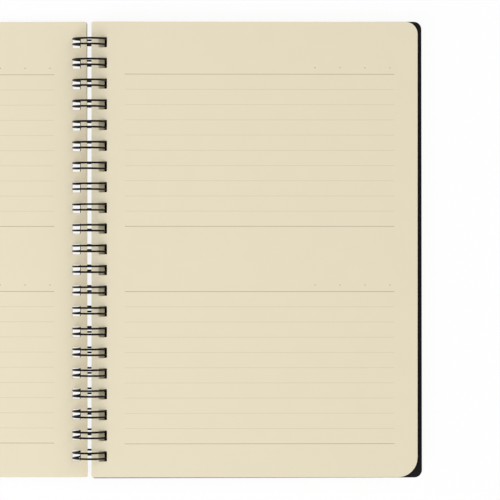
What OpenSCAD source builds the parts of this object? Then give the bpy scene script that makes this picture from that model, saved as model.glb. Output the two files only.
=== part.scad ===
// Open wire-bound notebook, lying flat on a table and open near its front.
// X runs across the two halves, Y along the binding, Z up. The origin is on
// the table, midway along the binding and straight below its axis.

/* [Pages] */
// Height of the pages along the binding
page_h = 210; // [100:1:297]
// Width of a page from its bound edge to its fore edge
page_w = 149.8; // [60:0.1:220]
// Radius of the two outer corners of the pages
page_corner_r = 5.5; // [1:0.5:12]
// Thickness of the sheets lying on the right
right_pages_t = 7.2; // [1:0.1:7.2]
// Thickness of the sheets turned over to the left
left_pages_t = 1; // [0.2:0.1:1]
// How far the lowest right sheet is fanned out past the top one
page_fan = 0.8; // [0.1:0.1:0.8]

/* [Covers] */
// How far the covers stand out past the pages at the head and the foot
cover_reach = 0.2; // [0:0.05:3]
// Thickness of each cover board
cover_t = 1.2; // [0.4:0.1:1.5]
// How far a cover stands out past the fore edge of the lowest page
cover_overhang = 1.8; // [0.4:0.1:5]
// How far the bound edge of a cover stands back from that of the top page
cover_setback = 0.3; // [0:0.1:0.6]
// Radius of the two outer corners of the covers
cover_corner_r = 3.5; // [1:0.5:12]
// Radius of the small corners at the bound edge
bound_corner_r = 0.8; // [0.3:0.1:1.5]

/* [Punched holes] */
// Gap seen between the left and the right pages
page_gap = 2.1; // [1:0.1:2.5]
// Room between the wire and the near and far sides of a hole
hole_play = 0.2; // [0.1:0.05:0.5]
// Height of a hole along the binding
hole_h = 4.8; // [4.6:0.1:6]
// Radius of the corners of a hole
hole_r = 0.8; // [0.2:0.1:1.5]
// How far the wire lies above the middle of the holes, towards the page head
wire_offset = 0.3; // [0:0.05:0.35]

/* [Wire binding] */
// Diameter of the wire
wire_d = 0.9; // [0.6:0.05:1]
// Room between the closed book and the inside of the loops, at its two faces
loop_play = 1.65; // [1.2:0.05:3]
// Distance between two twin loops
loop_pitch = 9.525; // [8:0.005:10.2]
// Least distance from the head and the foot of the pages to the middle of a loop
loop_margin = 9; // [6:0.5:9.5]
// Distance between the two wires of a loop, centre to centre
twin_gap = 2.9; // [2.4:0.05:3]
// How much thicker the wire is, in radius, where it is bent sharply
bend_swell = 0.05; // [0.03:0.01:0.1]
// Share of the room in the loops that the bridges stand clear of the back cover
bridge_share = 0.27; // [0.1:0.01:0.5]
// Angle from the foot of the loops to the start of the hairpin tips
tip_angle = 8; // [0:0.5:9]

/* [Hidden] */
// Facets on the corners of the boards and sheets
$fn = 32;
// Thickness of the slices that the fanned pages are drawn between
slice_t = 0.01;
// How far a cutter runs past the face that it cuts
cut_past = 1;
// Angle from the right side of a loop, round over the top, to its foot
foot_angle = 270;
// Depth of the outer cover faces below the axis: the closed book is centred on it
closed_play = 0.2;
half_stack = (2 * cover_t + right_pages_t + left_pages_t + closed_play) / 2;
cover_floor = -half_stack;
page_floor = cover_floor + cover_t;
// Radius of a loop at its inside, at the centre of the wire and at its outside
wire_r = wire_d / 2;
loop_inner_r = half_stack + loop_play;
ring_r = loop_inner_r + wire_r;
loop_outer_r = loop_inner_r + wire_d;
// Height of the axis of the loops above the table
axis_z = loop_outer_r;
// As many loops as the height of the pages holds
loop_count = floor((page_h - 2 * loop_margin) / loop_pitch) + 1;
cover_h = page_h + 2 * cover_reach;
// Distances from the axis of the loops to the edges of the boards and sheets
page_inner = page_gap / 2;
page_outer = page_inner + page_w;
cover_inner = page_inner + cover_setback;
cover_outer = page_outer + page_fan + cover_overhang;
// The wire passes the cover faces nearest to the axis, and the level of the axis furthest out
hole_inner = sqrt(pow(loop_inner_r, 2) - pow(half_stack, 2)) - hole_play;
hole_w = loop_outer_r + hole_play - hole_inner;
// Each half slopes until the far edge of its cover rests on the table
slope = asin(axis_z / norm([cover_outer, half_stack])) - atan(half_stack / cover_outer);
// Start of a loop at the bend into its bridge, and its end at the hairpin tip
root_angle = -asin((half_stack + wire_r + bridge_share * loop_play) / ring_r);
end_angle = foot_angle + tip_angle;
bridge_len = loop_pitch - twin_gap;
// Radius of the swell at each sharp bend, and how far the wires stop short of its middle
swell_r = wire_r + bend_swell;
lap = 0.1;
lap_angle = lap / ring_r * 180 / PI;
tip_lap_angle = lap / (twin_gap / 2) * 180 / PI;

// Place along the binding of loop number i
function loop_y(i) = (i - (loop_count - 1) / 2) * loop_pitch;

// Outline of a board or sheet, from its bound edge at x = near to x = far
module leaf_outline(near, far, height, corner_r) {
    half = height / 2;
    translate([near, -half + corner_r])
        square([far - near, height - 2 * corner_r]);
    translate([near + bound_corner_r, -half])
        square([far - near - bound_corner_r - corner_r, height]);
    for (side = [-1, 1]) {
        translate([far - corner_r, side * (half - corner_r)])
            circle(corner_r);
        translate([near + bound_corner_r, side * (half - bound_corner_r)])
            circle(bound_corner_r);
        translate([near, side * (half - (corner_r + bound_corner_r) / 2) - (corner_r - bound_corner_r) / 2])
            square([bound_corner_r, corner_r - bound_corner_r]);
    }
}

// Outline of one punched hole, with its near side at x = 0
module hole_outline() {
    translate([hole_r, -hole_h / 2])
        square([hole_w - 2 * hole_r, hole_h]);
    translate([0, -hole_h / 2 + hole_r])
        square([hole_w, hole_h - 2 * hole_r]);
    for (x = [hole_r, hole_w - hole_r], side = [-1, 1])
        translate([x, side * (hole_h / 2 - hole_r)])
            circle(hole_r);
}

// The row of holes, as a cutter from z = low to z = high
module hole_row(low, high) {
    for (i = [0 : loop_count - 1])
        translate([hole_inner, loop_y(i) - wire_offset, low - cut_past])
            linear_extrude(high - low + 2 * cut_past)
                hole_outline();
}

// Places a half, drawn level about the axis of the loops, on the right
module on_right() {
    translate([0, 0, axis_z])
        rotate([0, slope, 0])
            children();
}

// Places the same kind of half on the left
module on_left() {
    mirror([1, 0, 0])
        on_right()
            children();
}

// Cover board with its row of holes
module cover_board() {
    difference() {
        translate([0, 0, cover_floor])
            linear_extrude(cover_t)
                leaf_outline(cover_inner, cover_outer, cover_h, cover_corner_r);
        hole_row(cover_floor, page_floor);
    }
}

// Block of sheets, with the lowest one fanned out by lean
module sheet_block(thickness, lean) {
    difference() {
        hull() {
            translate([lean, 0, page_floor])
                linear_extrude(slice_t)
                    leaf_outline(page_inner, page_outer, page_h, page_corner_r);
            translate([0, 0, page_floor + thickness - slice_t])
                linear_extrude(slice_t)
                    leaf_outline(page_inner, page_outer, page_h, page_corner_r);
        }
        hole_row(page_floor, page_floor + thickness);
    }
}

// Stretch of round wire bent to radius r through an angle, about the Z axis
module wire_bend(r, angle) {
    rotate_extrude(angle = angle)
        translate([r, 0])
            circle(wire_r);
}

// Local frame on a loop: X outwards, Z along the wire, at an angle from the right
module on_loop(angle) {
    rotate([0, -angle, 0])
        translate([ring_r, 0, 0])
            children();
}

// The two wires of a loop, from the bridges round to the hairpin tip
module loop_wires() {
    for (side = [-1, 1])
        translate([0, side * twin_gap / 2, 0])
            rotate([90, 0, 0])
                rotate([0, 0, root_angle + lap_angle])
                    wire_bend(ring_r, end_angle - root_angle - 2 * lap_angle);
}

// Hairpin tip that joins the two wires of a loop, with the swell of its bends
module hairpin_tip() {
    on_loop(end_angle) {
        rotate([90, 0, 90])
            rotate([0, 0, tip_lap_angle])
                wire_bend(twin_gap / 2, 180 - 2 * tip_lap_angle);
        for (side = [-1, 1])
            translate([0, side * twin_gap / 2, 0])
                sphere(swell_r);
    }
}

// Swollen bend at a root
module root_bend() {
    on_loop(root_angle)
        sphere(swell_r);
}

// Straight bridge from one loop to the next, turned as one piece with its two bends
module bridge() {
    on_loop(root_angle)
        translate([0, twin_gap / 2, 0])
            rotate([-90, 0, 0])
                rotate_extrude()
                    bridge_profile();
}

// Half section of a bridge and its two bends
module bridge_profile() {
    square([wire_r, bridge_len]);
    intersection() {
        union() {
            circle(swell_r);
            translate([0, bridge_len])
                circle(swell_r);
        }
        translate([0, -swell_r])
            square([swell_r, bridge_len + 2 * swell_r]);
    }
}

module back_cover() {
    color("#1b1b1e")
        on_right()
            cover_board();
}

module right_pages() {
    color("#e8dfc4")
        on_right()
            sheet_block(right_pages_t, page_fan);
}

module front_cover() {
    color("#1b1b1e")
        on_left()
            cover_board();
}

module left_pages() {
    color("#e8dfc4")
        on_left()
            sheet_block(left_pages_t, page_fan * left_pages_t / right_pages_t);
}

// The binding is one continuous wire: hairpin loops joined by bridges
module wire_binding() {
    color("#2a2522")
        translate([0, 0, axis_z]) {
            for (i = [0 : loop_count - 1])
                translate([0, loop_y(i), 0]) {
                    loop_wires();
                    hairpin_tip();
                }
            for (i = [0 : loop_count - 2])
                translate([0, loop_y(i), 0])
                    bridge();
            for (side = [-1, 1])
                translate([0, side * (loop_y(loop_count - 1) + twin_gap / 2), 0])
                    root_bend();
        }
}

back_cover();
right_pages();
wire_binding();
front_cover();
left_pages();
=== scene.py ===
"""Looks of an open wire-bound notebook: cream ruled sheets, black boards and a dark twin-loop wire."""

import math
import random

import bmesh
import bpy
from mathutils import Matrix, Vector


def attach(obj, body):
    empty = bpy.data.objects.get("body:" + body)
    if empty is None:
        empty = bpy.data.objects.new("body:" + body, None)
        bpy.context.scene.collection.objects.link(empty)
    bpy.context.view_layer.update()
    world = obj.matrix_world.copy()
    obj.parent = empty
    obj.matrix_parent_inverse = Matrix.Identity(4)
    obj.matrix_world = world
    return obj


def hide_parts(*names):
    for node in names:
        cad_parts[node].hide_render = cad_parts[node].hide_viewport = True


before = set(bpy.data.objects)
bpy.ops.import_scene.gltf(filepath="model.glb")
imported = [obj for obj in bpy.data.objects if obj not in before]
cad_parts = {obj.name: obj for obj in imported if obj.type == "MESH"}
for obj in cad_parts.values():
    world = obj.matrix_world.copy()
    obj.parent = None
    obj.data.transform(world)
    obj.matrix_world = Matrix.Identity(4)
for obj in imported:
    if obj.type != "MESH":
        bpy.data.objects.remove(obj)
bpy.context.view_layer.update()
dice = random.Random(21)

MM = 0.001

# Sheets and boards, as punched and trimmed
RIGHT_PAGE_H = 209.6 * MM
LEFT_PAGE_H = 210.1 * MM
PAGE_W = 150.0 * MM
PAGE_CORNER = 5.5 * MM
PAGE_FOOT_CORNER = 9.0 * MM
PAGE_FAN = 0.4 * MM
# The sheets and boards hang loosely on the wire, so each lies a little off its true place and a little askew
PAGE_SETTLE = -0.37 * MM
LEFT_SETTLE = 0.25 * MM
LEFT_TURN = math.radians(-0.11)
LEAF_STRAY = 0.08 * MM
LEAF_SKEW = 0.07 * MM
RIGHT_STACK = 7.2 * MM
LEFT_STACK = 1.0 * MM
# Paper is some 0.1 mm thick: these leaves are thicker, so that their edges show one by one
LEAF_PITCH = 0.2 * MM
LEAF_T = 0.17 * MM
LEAF_LIFT = 0.02 * MM
BACK_H = 210.8 * MM
FRONT_H = 210.0 * MM
BACK_SETTLE = -0.6 * MM
BACK_TURN = math.radians(0.08)
COVER_T = 1.2 * MM
COVER_OVERHANG = 2.0 * MM
COVER_SETBACK = 0.3 * MM
COVER_CORNER = 3.5 * MM
COVER_EDGE = 0.22 * MM
RIM_ANGLE = math.radians(60)
BOUND_CORNER = 0.8 * MM
# Corners rounded by more than this get more facets
WIDE_CORNER = 2 * MM
WIDE_CORNER_FACETS = 8
SMALL_CORNER_FACETS = 3
CLOSED_PLAY = 0.2 * MM

# Punched holes
PAGE_GAP = 2.1 * MM
HOLE_PLAY = 0.2 * MM
HOLE_H = 4.8 * MM
HOLE_R = 0.4 * MM
WIRE_OFFSET = 0.35 * MM
# The deeper a right-hand sheet lies, the further it has slid out against the inside of the loops:
# by 0.25 mm at 1 mm below the top sheet, growing with the square of the depth
SHEET_SLIP = 0.25
SHEET_SLIP_PLAY = 0.04 * MM
# These rows of holes lie a little nearer to the bound edge than the right sheets' row, or further
LEFT_HOLE_SHIFT = -0.12 * MM
# The back board's holes lie 1.33 mm nearer, so its black face shows under the far part of each right-hand
# hole: partly the black board, partly painted shade standing in for the deep shade in those holes
BACK_HOLE_SHADE_SHIFT = -1.33 * MM
FRONT_HOLE_SHIFT = 0.27 * MM

# Twin-loop wire
WIRE_R = 0.45 * MM
LOOP_R = 7.5 * MM
LOOP_COUNT = 21
LOOP_PITCH = 9.525 * MM
ROOT_GAP = 2.85 * MM
TIP_GAP = 2.3 * MM
BEND_R = 0.9 * MM
WIRE_SETTLE = 0.12 * MM
# The tips were closed from the foot of the book, which pulled the loops there over the most
TIP_LEAN_FOOT = 0.95 * MM
TIP_LEAN_HEAD = -0.05 * MM
LEAN_START = math.radians(217)
LEAN_END = math.radians(258)
ROOT_ANGLE = math.radians(-57.1)
TIP_ANGLE = math.radians(278)
LOOP_STEPS = 36
BEND_STEPS = 5
TIP_STEPS = 6
WIRE_ROUNDNESS = 3
MERGE_WITHIN = 0.001 * MM

# Ruling: ten spaces of 7 mm between two heavy lines, twice down the page
RULE_SPACE = 7 * MM
RULE_SPACES = 10
RULE_PERIOD = 100 * MM
RULE_TOP = 80.3 * MM
RULE_NEAR = 16.4 * MM
RULE_FAR = 140.4 * MM
HEAVY_LINE = 0.26 * MM
# Light rules are printed about 0.15 mm wide: these are wider and paler, so that they show and stay soft
LIGHT_LINE = 0.34 * MM
DATE_DOT = 0.55 * MM
DATE_DOT_LIFT = 3.0 * MM
DATE_DOT_STEP = 11.5 * MM
DATE_DOT_INSET = 2.0 * MM
DATE_DOTS = 4

# Size of the cells and clouds of each finish
PULP_CLOUD = 12 * MM
PAPER_FIBRE = 0.4 * MM
PRESSED_GRAIN = 0.7 * MM
BOARD_HAZE = 18 * MM
COAT_MOTTLE = 1.5 * MM

# Table, lights and camera
TABLE_REACH = 3.0
# Share of the table's white that is there for the camera alone; the rest takes the object's shadow
TABLE_GLOW = 0.92
# Strength of the sky as light, and as the camera sees it
SKY_LIGHT = 0.5
SKY_SEEN = 1.0
LAMP_SIZE = 1.2
KEY_PLACE = (-0.7, -0.55, 1.1)
KEY_POWER = 12
FILL_PLACE = (0.6, 0.8, 1.4)
FILL_POWER = 5
PIXEL = 0.46 * MM
FRAME_PIXELS = 500
# Where the axis of the loops, midway along it, stands in the frame
BINDING_PIXEL_X = 89.25
BINDING_PIXEL_Y = 248.75
EYE_HEIGHT = 1.5
# How far the page lies over the axis of the loops, midway across it: the pixel size holds at that level
PAGE_OVER_AXIS = 1.7 * MM
SENSOR = 36

# Places worked out from the sizes above
AXIS_Z = LOOP_R + WIRE_R
PAGE_NEAR = PAGE_GAP / 2
PAGE_FAR = PAGE_NEAR + PAGE_W
COVER_NEAR = PAGE_NEAR + COVER_SETBACK
COVER_FAR = PAGE_FAR + PAGE_FAN + COVER_OVERHANG
HALF_STACK = (2 * COVER_T + RIGHT_STACK + LEFT_STACK + CLOSED_PLAY) / 2
HOLE_NEAR = math.sqrt((LOOP_R - WIRE_R) ** 2 - HALF_STACK**2) - HOLE_PLAY
HOLE_FAR = LOOP_R + WIRE_R + HOLE_PLAY
SLOPE = math.asin(AXIS_Z / math.hypot(COVER_FAR, HALF_STACK)) - math.atan(HALF_STACK / COVER_FAR)
ON_RIGHT = Matrix.Translation((0, 0, AXIS_Z)) @ Matrix.Rotation(SLOPE, 4, "Y")
ON_LEFT = Matrix.Scale(-1, 4, (1, 0, 0)) @ ON_RIGHT


def loop_y(i):
    """Place along the binding of loop number i."""
    return (i - (LOOP_COUNT - 1) / 2) * LOOP_PITCH


# Colours and nodes


def paint(code):
    """An sRGB hex colour as linear values."""
    values = [int(code[i : i + 2], 16) / 255 for i in (1, 3, 5)]
    return [v / 12.92 if v <= 0.04045 else ((v + 0.055) / 1.055) ** 2.4 for v in values] + [1]


def add(tree, kind, links=(), **settings):
    """One node with its settings; links are (input, output socket or value) pairs.

    A Mix node of colours takes its share at input 0 and its colours at 6 and 7, and gives output 2.
    """
    node = tree.nodes.new(kind)
    for name, value in settings.items():
        setattr(node, name, value)
    for socket, source in links:
        if isinstance(source, bpy.types.NodeSocket):
            tree.links.new(source, node.inputs[socket])
        else:
            node.inputs[socket].default_value = source
    return node


def surface(name):
    """A new material with its tree and its Principled shader."""
    material = bpy.data.materials.new(name)
    material.use_nodes = True
    tree = material.node_tree
    return material, tree, tree.nodes["Principled BSDF"]


def printed_ruling(tree, x, y, line_end):
    """How much heavy, light and dot ink lies at a point of the page, each from 0 to 1.

    The steps are sums and comparisons in turn: the name of the result, the operation and its values.
    """
    half_space = RULE_SPACE / 2
    steps = [
        # Distance below the heavy rule that starts a block, and how far off the nearest rule is
        ("from_top", "SUBTRACT", RULE_TOP + half_space, "y"),
        ("in_block", "FLOORED_MODULO", "from_top", RULE_PERIOD),
        ("down", "SUBTRACT", "in_block", half_space),
        ("spaces", "DIVIDE", "down", RULE_SPACE),
        ("row", "ROUND", "spaces"),
        ("rule_place", "MULTIPLY", "row", RULE_SPACE),
        ("from_rule", "SUBTRACT", "down", "rule_place"),
        ("off", "ABSOLUTE", "from_rule"),
        # Whether the point lies between the two ends of the rules
        ("out", "ABSOLUTE", "x"),
        ("past_near", "GREATER_THAN", "out", RULE_NEAR),
        ("before_far", "LESS_THAN", "out", RULE_FAR),
        ("across", "MULTIPLY", "past_near", "before_far"),
        # The first and the last rule of a block are heavy, and those in the middle light
        ("after_first", "GREATER_THAN", "row", 0.5),
        ("before_last", "LESS_THAN", "row", RULE_SPACES - 0.5),
        ("middle", "MULTIPLY", "after_first", "before_last"),
        ("from_first", "GREATER_THAN", "row", -0.5),
        ("to_last", "LESS_THAN", "row", RULE_SPACES + 0.5),
        ("block", "MULTIPLY", "from_first", "to_last"),
        ("ends", "SUBTRACT", "block", "middle"),
        ("on_heavy", "LESS_THAN", "off", HEAVY_LINE / 2),
        ("heavy_row", "MULTIPLY", "on_heavy", "ends"),
        ("heavy", "MULTIPLY", "heavy_row", "across"),
        ("on_light", "LESS_THAN", "off", LIGHT_LINE / 2),
        ("light_row", "MULTIPLY", "on_light", "middle"),
        ("light", "MULTIPLY", "light_row", "across"),
        # The dots of the date line stand above each block, counted back from the end of the rules
        ("along", "SUBTRACT", line_end - DATE_DOT_INSET + DATE_DOT_STEP / 2, "x"),
        ("dot_steps", "DIVIDE", "along", DATE_DOT_STEP),
        ("dot_number", "FLOOR", "dot_steps"),
        ("dot_middle", "ADD", "dot_number", 0.5),
        ("dot_place", "MULTIPLY", "dot_middle", DATE_DOT_STEP),
        ("beside", "SUBTRACT", "along", "dot_place"),
        ("above", "ADD", "down", DATE_DOT_LIFT),
        ("beside_square", "POWER", "beside", 2),
        ("above_square", "POWER", "above", 2),
        ("away_square", "ADD", "beside_square", "above_square"),
        ("away", "SQRT", "away_square"),
        ("on_dot", "LESS_THAN", "away", DATE_DOT / 2),
        ("from_first_dot", "GREATER_THAN", "dot_number", -0.5),
        ("to_last_dot", "LESS_THAN", "dot_number", DATE_DOTS - 0.5),
        ("dot_row", "MULTIPLY", "from_first_dot", "to_last_dot"),
        ("dot", "MULTIPLY", "on_dot", "dot_row"),
    ]
    known = {"x": x, "y": y}
    for result, operation, *values in steps:
        values = [known.get(value, value) for value in values]
        known[result] = add(tree, "ShaderNodeMath", enumerate(values), operation=operation).outputs[0]
    return known["heavy"], known["light"], known["dot"]


def cream_wove_paper(name, line_end):
    """Uncoated cream writing paper: matt, faintly cloudy, with soft fibres and pale printed ruling."""
    material, tree, shader = surface(name)
    place = add(tree, "ShaderNodeTexCoord").outputs["Object"]
    parts = add(tree, "ShaderNodeSeparateXYZ", [(0, place)])
    heavy, light, dot = printed_ruling(tree, parts.outputs[0], parts.outputs[1], line_end)
    # Clouds of pulp some 12 mm across, and fibres of 0.4 mm, coarser than real ones so that they show
    clouds = add(tree, "ShaderNodeTexNoise", [("Vector", place), ("Scale", 1 / PULP_CLOUD), ("Detail", 3.0)])
    fibres = add(tree, "ShaderNodeTexNoise", [("Vector", place), ("Scale", 1 / PAPER_FIBRE), ("Detail", 4.0)])
    cloud_tone = add(tree, "ShaderNodeMath", [(0, clouds.outputs[0]), (1, 0.7)], operation="MULTIPLY")
    fibre_tone = add(tree, "ShaderNodeMath", [(0, fibres.outputs[0]), (1, 0.3)], operation="MULTIPLY")
    both = [(0, cloud_tone.outputs[0]), (1, fibre_tone.outputs[0])]
    tone = add(tree, "ShaderNodeMath", both, operation="ADD").outputs[0]
    colour = paint("#eae0c5")
    for share, ink in ((tone, "#e6dcc2"), (light, "#ddd3b7"), (heavy, "#b3a98c"), (dot, "#b3a98c")):
        mix = add(tree, "ShaderNodeMix", [(0, share), (6, colour), (7, paint(ink))], data_type="RGBA")
        colour = mix.outputs[2]
    tree.links.new(colour, shader.inputs["Base Color"])
    shader.inputs["Roughness"].default_value = 0.92
    shader.inputs["Specular IOR Level"].default_value = 0.25
    raised = [("Height", fibres.outputs[0]), ("Strength", 0.12), ("Distance", 0.03 * MM)]
    tree.links.new(add(tree, "ShaderNodeBump", raised).outputs[0], shader.inputs["Normal"])
    return material


def pressed_black_board():
    """Board covered in black pressed paper: nearly matt, with a fine grain that catches light at edges."""
    material, tree, shader = surface("pressed_black_board")
    place = add(tree, "ShaderNodeTexCoord").outputs["Object"]
    # Real pressed grain is some 0.4 mm across: this is 0.7 mm, so that it shows
    cells = add(tree, "ShaderNodeTexVoronoi", [("Vector", place), ("Scale", 1 / PRESSED_GRAIN)])
    haze = add(tree, "ShaderNodeTexNoise", [("Vector", place), ("Scale", 1 / BOARD_HAZE), ("Detail", 3.0)])
    shades = [(0, haze.outputs[0]), (6, paint("#09080a")), (7, paint("#0e0d10"))]
    colour = add(tree, "ShaderNodeMix", shades, data_type="RGBA")
    tree.links.new(colour.outputs[2], shader.inputs["Base Color"])
    rough = add(tree, "ShaderNodeMapRange", [(0, haze.outputs[0]), ("To Min", 0.5), ("To Max", 0.66)])
    tree.links.new(rough.outputs[0], shader.inputs["Roughness"])
    shader.inputs["Specular IOR Level"].default_value = 0.2
    raised = [("Height", cells.outputs[0]), ("Strength", 0.35), ("Distance", 0.06 * MM)]
    tree.links.new(add(tree, "ShaderNodeBump", raised).outputs[0], shader.inputs["Normal"])
    return material


def coated_steel_wire():
    """Steel wire in a smooth dark nylon coat: near black, brown where light catches it, with a soft gloss."""
    material, tree, shader = surface("nylon_coated_steel_wire")
    place = add(tree, "ShaderNodeTexCoord").outputs["Object"]
    # The coat is uneven every 1.5 mm or so, coarser than a real one, so that it shows
    coat = add(tree, "ShaderNodeTexNoise", [("Vector", place), ("Scale", 1 / COAT_MOTTLE), ("Detail", 3.0)])
    shades = [(0, coat.outputs[0]), (6, paint("#070504")), (7, paint("#120e0b"))]
    colour = add(tree, "ShaderNodeMix", shades, data_type="RGBA")
    tree.links.new(colour.outputs[2], shader.inputs["Base Color"])
    rough = add(tree, "ShaderNodeMapRange", [(0, coat.outputs[0]), ("To Min", 0.3), ("To Max", 0.42)])
    tree.links.new(rough.outputs[0], shader.inputs["Roughness"])
    shader.inputs["Specular IOR Level"].default_value = 0.16
    return material


# Punched sheets and boards


def flat_leaf(near, far, height, head_r, foot_r, hole_shift, settle, turn):
    """A flat outline with its outer corners round and its bound ones eased, turned askew, with its holes.

    The holes stay on the wire: they are neither turned nor settled, and hole_shift moves them outwards.
    """
    leaf = bmesh.new()
    rounded_patch(leaf, near, far, -height / 2, height / 2, head_r, foot_r, BOUND_CORNER)
    bmesh.ops.rotate(leaf, verts=leaf.verts, cent=(near, 0, 0), matrix=Matrix.Rotation(turn, 3, "Z"))
    for i in range(LOOP_COUNT):
        middle = loop_y(i) + WIRE_SETTLE - WIRE_OFFSET - settle
        low_x, high_x = HOLE_NEAR + hole_shift, HOLE_FAR + hole_shift
        low_y, high_y = middle - HOLE_H / 2, middle + HOLE_H / 2
        rounded_patch(leaf, low_x, high_x, low_y, high_y, HOLE_R, HOLE_R, HOLE_R)
    bmesh.ops.delete(leaf, geom=list(leaf.faces), context="FACES_ONLY")
    bmesh.ops.triangle_fill(leaf, use_beauty=True, use_dissolve=False, edges=list(leaf.edges),
                            normal=(0, 0, 1))
    return leaf


def rounded_patch(mesh, low_x, high_x, low_y, high_y, head_r, foot_r, near_r):
    """Adds a rectangle. Its far corners get the radii head_r and foot_r, and both near ones get near_r."""
    middle = Vector(((low_x + high_x) / 2, (low_y + high_y) / 2, 0))
    place = Matrix.Translation(middle) @ Matrix.Diagonal((high_x - low_x, high_y - low_y, 1, 1))
    made = bmesh.ops.create_grid(mesh, x_segments=1, y_segments=1, size=0.5, matrix=place)
    corners = list(made["verts"])
    radii = [near_r if v.co.x < middle.x else head_r if v.co.y > middle.y else foot_r for v in corners]
    for radius in sorted(set(radii)):
        # A bevelled vertex of a square corner takes its offset along both edges
        sharp = [v for v, r in zip(corners, radii) if r == radius]
        facets = WIDE_CORNER_FACETS if radius > WIDE_CORNER else SMALL_CORNER_FACETS
        bmesh.ops.bevel(mesh, geom=sharp, offset=radius, offset_type="OFFSET", segments=facets, profile=0.5,
                        affect="VERTICES", material=-1)


def thicken(mesh, thickness):
    """Turns a flat leaf into a closed sheet of that thickness above it."""
    raised = bmesh.ops.extrude_face_region(mesh, geom=list(mesh.faces))
    verts = [v for v in raised["geom"] if isinstance(v, bmesh.types.BMVert)]
    bmesh.ops.translate(mesh, verts=verts, vec=(0, 0, thickness))
    bmesh.ops.recalc_face_normals(mesh, faces=list(mesh.faces))


def finished(mesh, name, material, body, slot, *nodes):
    """Makes a piece of a mesh, which rides on a body and stands for the solids named."""
    data = bpy.data.meshes.new(name)
    mesh.to_mesh(data)
    mesh.free()
    piece = bpy.data.objects.new(name, data)
    bpy.context.scene.collection.objects.link(piece)
    data.materials.append(material)
    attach(piece, body)
    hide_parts(*nodes)
    return piece


def hole_slip(low, top, share):
    """How far the holes of a sheet at that level have slid outwards, until they meet the loops."""
    room = math.sqrt((LOOP_R - WIRE_R) ** 2 - low**2) - HOLE_NEAR - SHEET_SLIP_PLAY
    depth = max(top - LEAF_PITCH - low, 0) / MM
    return max(min(share * depth**2 * MM, room), 0)


def sheets(name, height, stack, place, material, body, node, slip=0, hole_shift=0, slide=0, turn=0):
    """A block of loose leaves, fanned towards the fore edge, each a little out of true."""
    block = bmesh.new()
    count = round(stack / LEAF_PITCH)
    floor = -HALF_STACK + COVER_T
    for i in range(count):
        share = i / (count - 1)
        fan = PAGE_FAN * (1 - share) * stack / RIGHT_STACK
        # The top leaf lies true
        stray = dice.uniform(-LEAF_STRAY, 0) if i < count - 1 else 0
        skew = dice.uniform(-LEAF_SKEW, LEAF_SKEW) if i < count - 1 else 0
        out = max(fan + stray, 0) + slide
        low = floor + i * LEAF_PITCH
        start = len(block.verts)
        shift = hole_shift + hole_slip(low, floor + stack, slip) - out
        leaf = flat_leaf(PAGE_NEAR, PAGE_FAR, height, PAGE_CORNER, PAGE_FOOT_CORNER, shift, PAGE_SETTLE, turn)
        thicken(leaf, LEAF_T)
        pattern = bpy.data.meshes.new("leaf_pattern")
        leaf.to_mesh(pattern)
        leaf.free()
        block.from_mesh(pattern)
        bpy.data.meshes.remove(pattern)
        block.verts.ensure_lookup_table()
        bmesh.ops.translate(block, verts=block.verts[start:], vec=(out, PAGE_SETTLE + skew, low + LEAF_LIFT))
    bmesh.ops.transform(block, matrix=place, verts=block.verts)
    if place.determinant() < 0:
        bmesh.ops.reverse_faces(block, faces=block.faces)
    return finished(block, name, material, body, "paper", node)


def board(name, height, place, material, body, node, hole_shift, settle, turn=0):
    """A cover board with softly rounded edges and its row of holes, lying a little askew on the wire."""
    sheet = flat_leaf(COVER_NEAR, COVER_FAR, height, COVER_CORNER, COVER_CORNER, hole_shift, settle, turn)
    thicken(sheet, COVER_T)
    rims = [e for e in sheet.edges if len(e.link_faces) == 2 and e.calc_face_angle() > RIM_ANGLE]
    bmesh.ops.bevel(sheet, geom=rims, offset=COVER_EDGE, offset_type="OFFSET", segments=2, profile=0.5,
                    affect="EDGES", material=-1)
    bmesh.ops.translate(sheet, verts=sheet.verts, vec=(0, settle, -HALF_STACK))
    bmesh.ops.transform(sheet, matrix=place, verts=sheet.verts)
    if place.determinant() < 0:
        bmesh.ops.reverse_faces(sheet, faces=sheet.faces)
    return finished(sheet, name, material, body, "cover_board", node)


# Twin-loop wire


def twin_gap(angle):
    """Distance between the two wires of a loop, which draw together towards the hairpin tip."""
    share = (angle - ROOT_ANGLE) / (TIP_ANGLE - ROOT_ANGLE)
    return ROOT_GAP + (TIP_GAP - ROOT_GAP) * min(max(share, 0), 1)


def lean(i, angle):
    """How far the foot of loop number i has been pulled along the binding as its tip was closed."""
    share = min(max((angle - LEAN_START) / (LEAN_END - LEAN_START), 0), 1)
    pull = TIP_LEAN_FOOT + (TIP_LEAN_HEAD - TIP_LEAN_FOOT) * i / (LOOP_COUNT - 1)
    return pull * share * share * (3 - 2 * share)


def loop_route():
    """Half of a loop, from its bridge round to the crown of its hairpin tip, as (angle, offset) pairs."""
    bend = BEND_R / LOOP_R
    route = []
    for k in range(BEND_STEPS):
        turn = math.pi / 2 * k / BEND_STEPS
        route.append((ROOT_ANGLE + bend * (1 - math.cos(turn)), ROOT_GAP / 2 + BEND_R * (1 - math.sin(turn))))
    for k in range(LOOP_STEPS + 1):
        angle = ROOT_ANGLE + bend + (TIP_ANGLE - ROOT_ANGLE - bend) * k / LOOP_STEPS
        route.append((angle, twin_gap(angle) / 2))
    for k in range(1, TIP_STEPS + 1):
        turn = math.pi / 2 * k / TIP_STEPS
        route.append((TIP_ANGLE + TIP_GAP / 2 / LOOP_R * math.sin(turn), TIP_GAP / 2 * math.cos(turn)))
    return route


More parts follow.
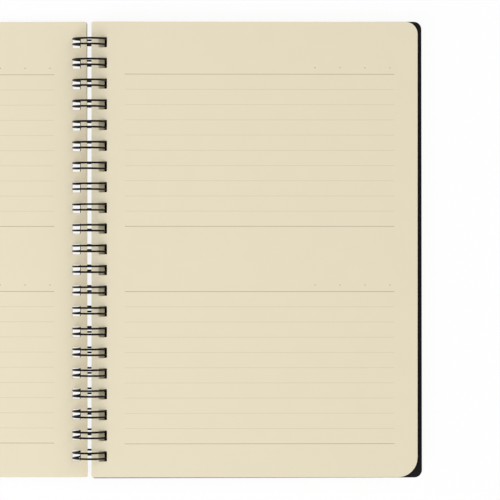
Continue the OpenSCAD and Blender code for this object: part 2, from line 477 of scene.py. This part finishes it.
def wire_binding(material):
    """The one continuous wire, down the length of the binding."""
    half = loop_route()
    points = []
    for i in range(LOOP_COUNT):
        for angle, offset in half:
            points.append((angle, loop_y(i) + lean(i, angle) - offset))
        for angle, offset in reversed(half[:-1]):
            points.append((angle, loop_y(i) + lean(i, angle) + offset))
    curve = bpy.data.curves.new("wire_route", "CURVE")
    curve.dimensions = "3D"
    curve.bevel_depth = WIRE_R
    curve.bevel_resolution = WIRE_ROUNDNESS
    curve.use_fill_caps = True
    spline = curve.splines.new("POLY")
    spline.points.add(len(points) - 1)
    for point, (angle, y) in zip(spline.points, points):
        point.co = (LOOP_R * math.cos(angle), y + WIRE_SETTLE, AXIS_Z + LOOP_R * math.sin(angle), 1)
    route = bpy.data.objects.new("wire_route", curve)
    bpy.context.scene.collection.objects.link(route)
    bpy.context.view_layer.update()
    made = bpy.data.meshes.new_from_object(route.evaluated_get(bpy.context.evaluated_depsgraph_get()))
    bpy.data.objects.remove(route)
    wire = bmesh.new()
    wire.from_mesh(made)
    bpy.data.meshes.remove(made)
    bmesh.ops.remove_doubles(wire, verts=wire.verts, dist=MERGE_WITHIN)
    bmesh.ops.recalc_face_normals(wire, faces=wire.faces)
    for face in wire.faces:
        face.smooth = True
        face.material_index = 0
    return finished(wire, "twin_loop_wire", material, "binding", "wire", "wire_binding")


# Stage, lights and camera


def white_table():
    """Plain white table that the camera sees near white, with the object's shadow kept."""
    material, tree, shader = surface("white_table")
    shader.inputs["Base Color"].default_value = paint("#fbfbfb")
    shader.inputs["Roughness"].default_value = 0.9
    glow = add(tree, "ShaderNodeEmission", [("Color", (1, 1, 1, 1)), ("Strength", 1.0)])
    rays = add(tree, "ShaderNodeLightPath").outputs
    looks = [(0, rays["Is Camera Ray"]), (1, rays["Is Glossy Ray"])]
    seen = add(tree, "ShaderNodeMath", looks, operation="ADD").outputs[0]
    share = add(tree, "ShaderNodeMath", [(0, seen), (1, TABLE_GLOW)], operation="MULTIPLY").outputs[0]
    mixed = add(tree, "ShaderNodeMixShader", [(0, share), (1, shader.outputs[0]), (2, glow.outputs[0])])
    tree.links.new(mixed.outputs[0], tree.nodes["Material Output"].inputs["Surface"])
    return material


def stage():
    """The table under the notebook."""
    table = bmesh.new()
    bmesh.ops.create_grid(table, x_segments=1, y_segments=1, size=TABLE_REACH)
    data = bpy.data.meshes.new("table")
    table.to_mesh(data)
    table.free()
    data.materials.append(white_table())
    top = bpy.data.objects.new("table", data)
    bpy.context.scene.collection.objects.link(top)


def soft_light(name, place, power):
    """A square soft light that looks at the notebook."""
    data = bpy.data.lights.new(name, "AREA")
    data.size = LAMP_SIZE
    data.energy = power
    lamp = bpy.data.objects.new(name, data)
    lamp.location = place
    lamp.rotation_euler = (-Vector(place)).to_track_quat("-Z", "Y").to_euler()
    bpy.context.scene.collection.objects.link(lamp)


def lighting():
    """Even daylight from all round, with a soft key high on the left; the camera sees the sky white."""
    world = bpy.data.worlds.new("daylight")
    world.use_nodes = True
    bpy.context.scene.world = world
    tree = world.node_tree
    sky = tree.nodes["Background"]
    sky.inputs["Color"].default_value = (1, 1, 1, 1)
    seen = add(tree, "ShaderNodeLightPath").outputs["Is Camera Ray"]
    extra = add(tree, "ShaderNodeMath", [(0, seen), (1, SKY_SEEN - SKY_LIGHT)], operation="MULTIPLY")
    strength = add(tree, "ShaderNodeMath", [(0, extra.outputs[0]), (1, SKY_LIGHT)], operation="ADD")
    tree.links.new(strength.outputs[0], sky.inputs["Strength"])
    soft_light("key", KEY_PLACE, KEY_POWER)
    soft_light("fill", FILL_PLACE, FILL_POWER)


def camera():
    """Straight above, framed as the photograph is: cut off on the left, the right half whole."""
    half_frame = FRAME_PIXELS / 2
    middle_x = (half_frame - BINDING_PIXEL_X) * PIXEL
    middle_y = (BINDING_PIXEL_Y - half_frame) * PIXEL
    to_page = EYE_HEIGHT - (AXIS_Z + PAGE_OVER_AXIS)
    data = bpy.data.cameras.new("overhead")
    data.sensor_width = SENSOR
    data.lens = data.sensor_width * to_page / (FRAME_PIXELS * PIXEL)
    eye = bpy.data.objects.new("overhead", data)
    eye.location = (middle_x, middle_y, EYE_HEIGHT)
    bpy.context.scene.collection.objects.link(eye)
    bpy.context.scene.camera = eye


camera()
lighting()
stage()
bpy.context.scene.view_settings.view_transform = "Standard"

right_paper = cream_wove_paper("cream_wove_paper_right", RULE_FAR)
left_paper = cream_wove_paper("cream_wove_paper_left", -RULE_NEAR)
black_board = pressed_black_board()
sheets("right_sheets", RIGHT_PAGE_H, RIGHT_STACK, ON_RIGHT, right_paper, "right_block", "right_pages",
       slip=SHEET_SLIP)
sheets("left_sheets", LEFT_PAGE_H, LEFT_STACK, ON_LEFT, left_paper, "left_block", "left_pages",
       hole_shift=LEFT_HOLE_SHIFT, slide=LEFT_SETTLE, turn=LEFT_TURN)
# The back board's holes are set nearer the bound edge, so black board shows in the right-hand holes as
# painted shade
board("back_board", BACK_H, ON_RIGHT, black_board, "binding", "back_cover",
      hole_shift=BACK_HOLE_SHADE_SHIFT, settle=BACK_SETTLE, turn=BACK_TURN)
board("front_board_cover", FRONT_H, ON_LEFT, black_board, "front_board", "front_cover",
      hole_shift=FRONT_HOLE_SHIFT, settle=PAGE_SETTLE)
wire_binding(coated_steel_wire())
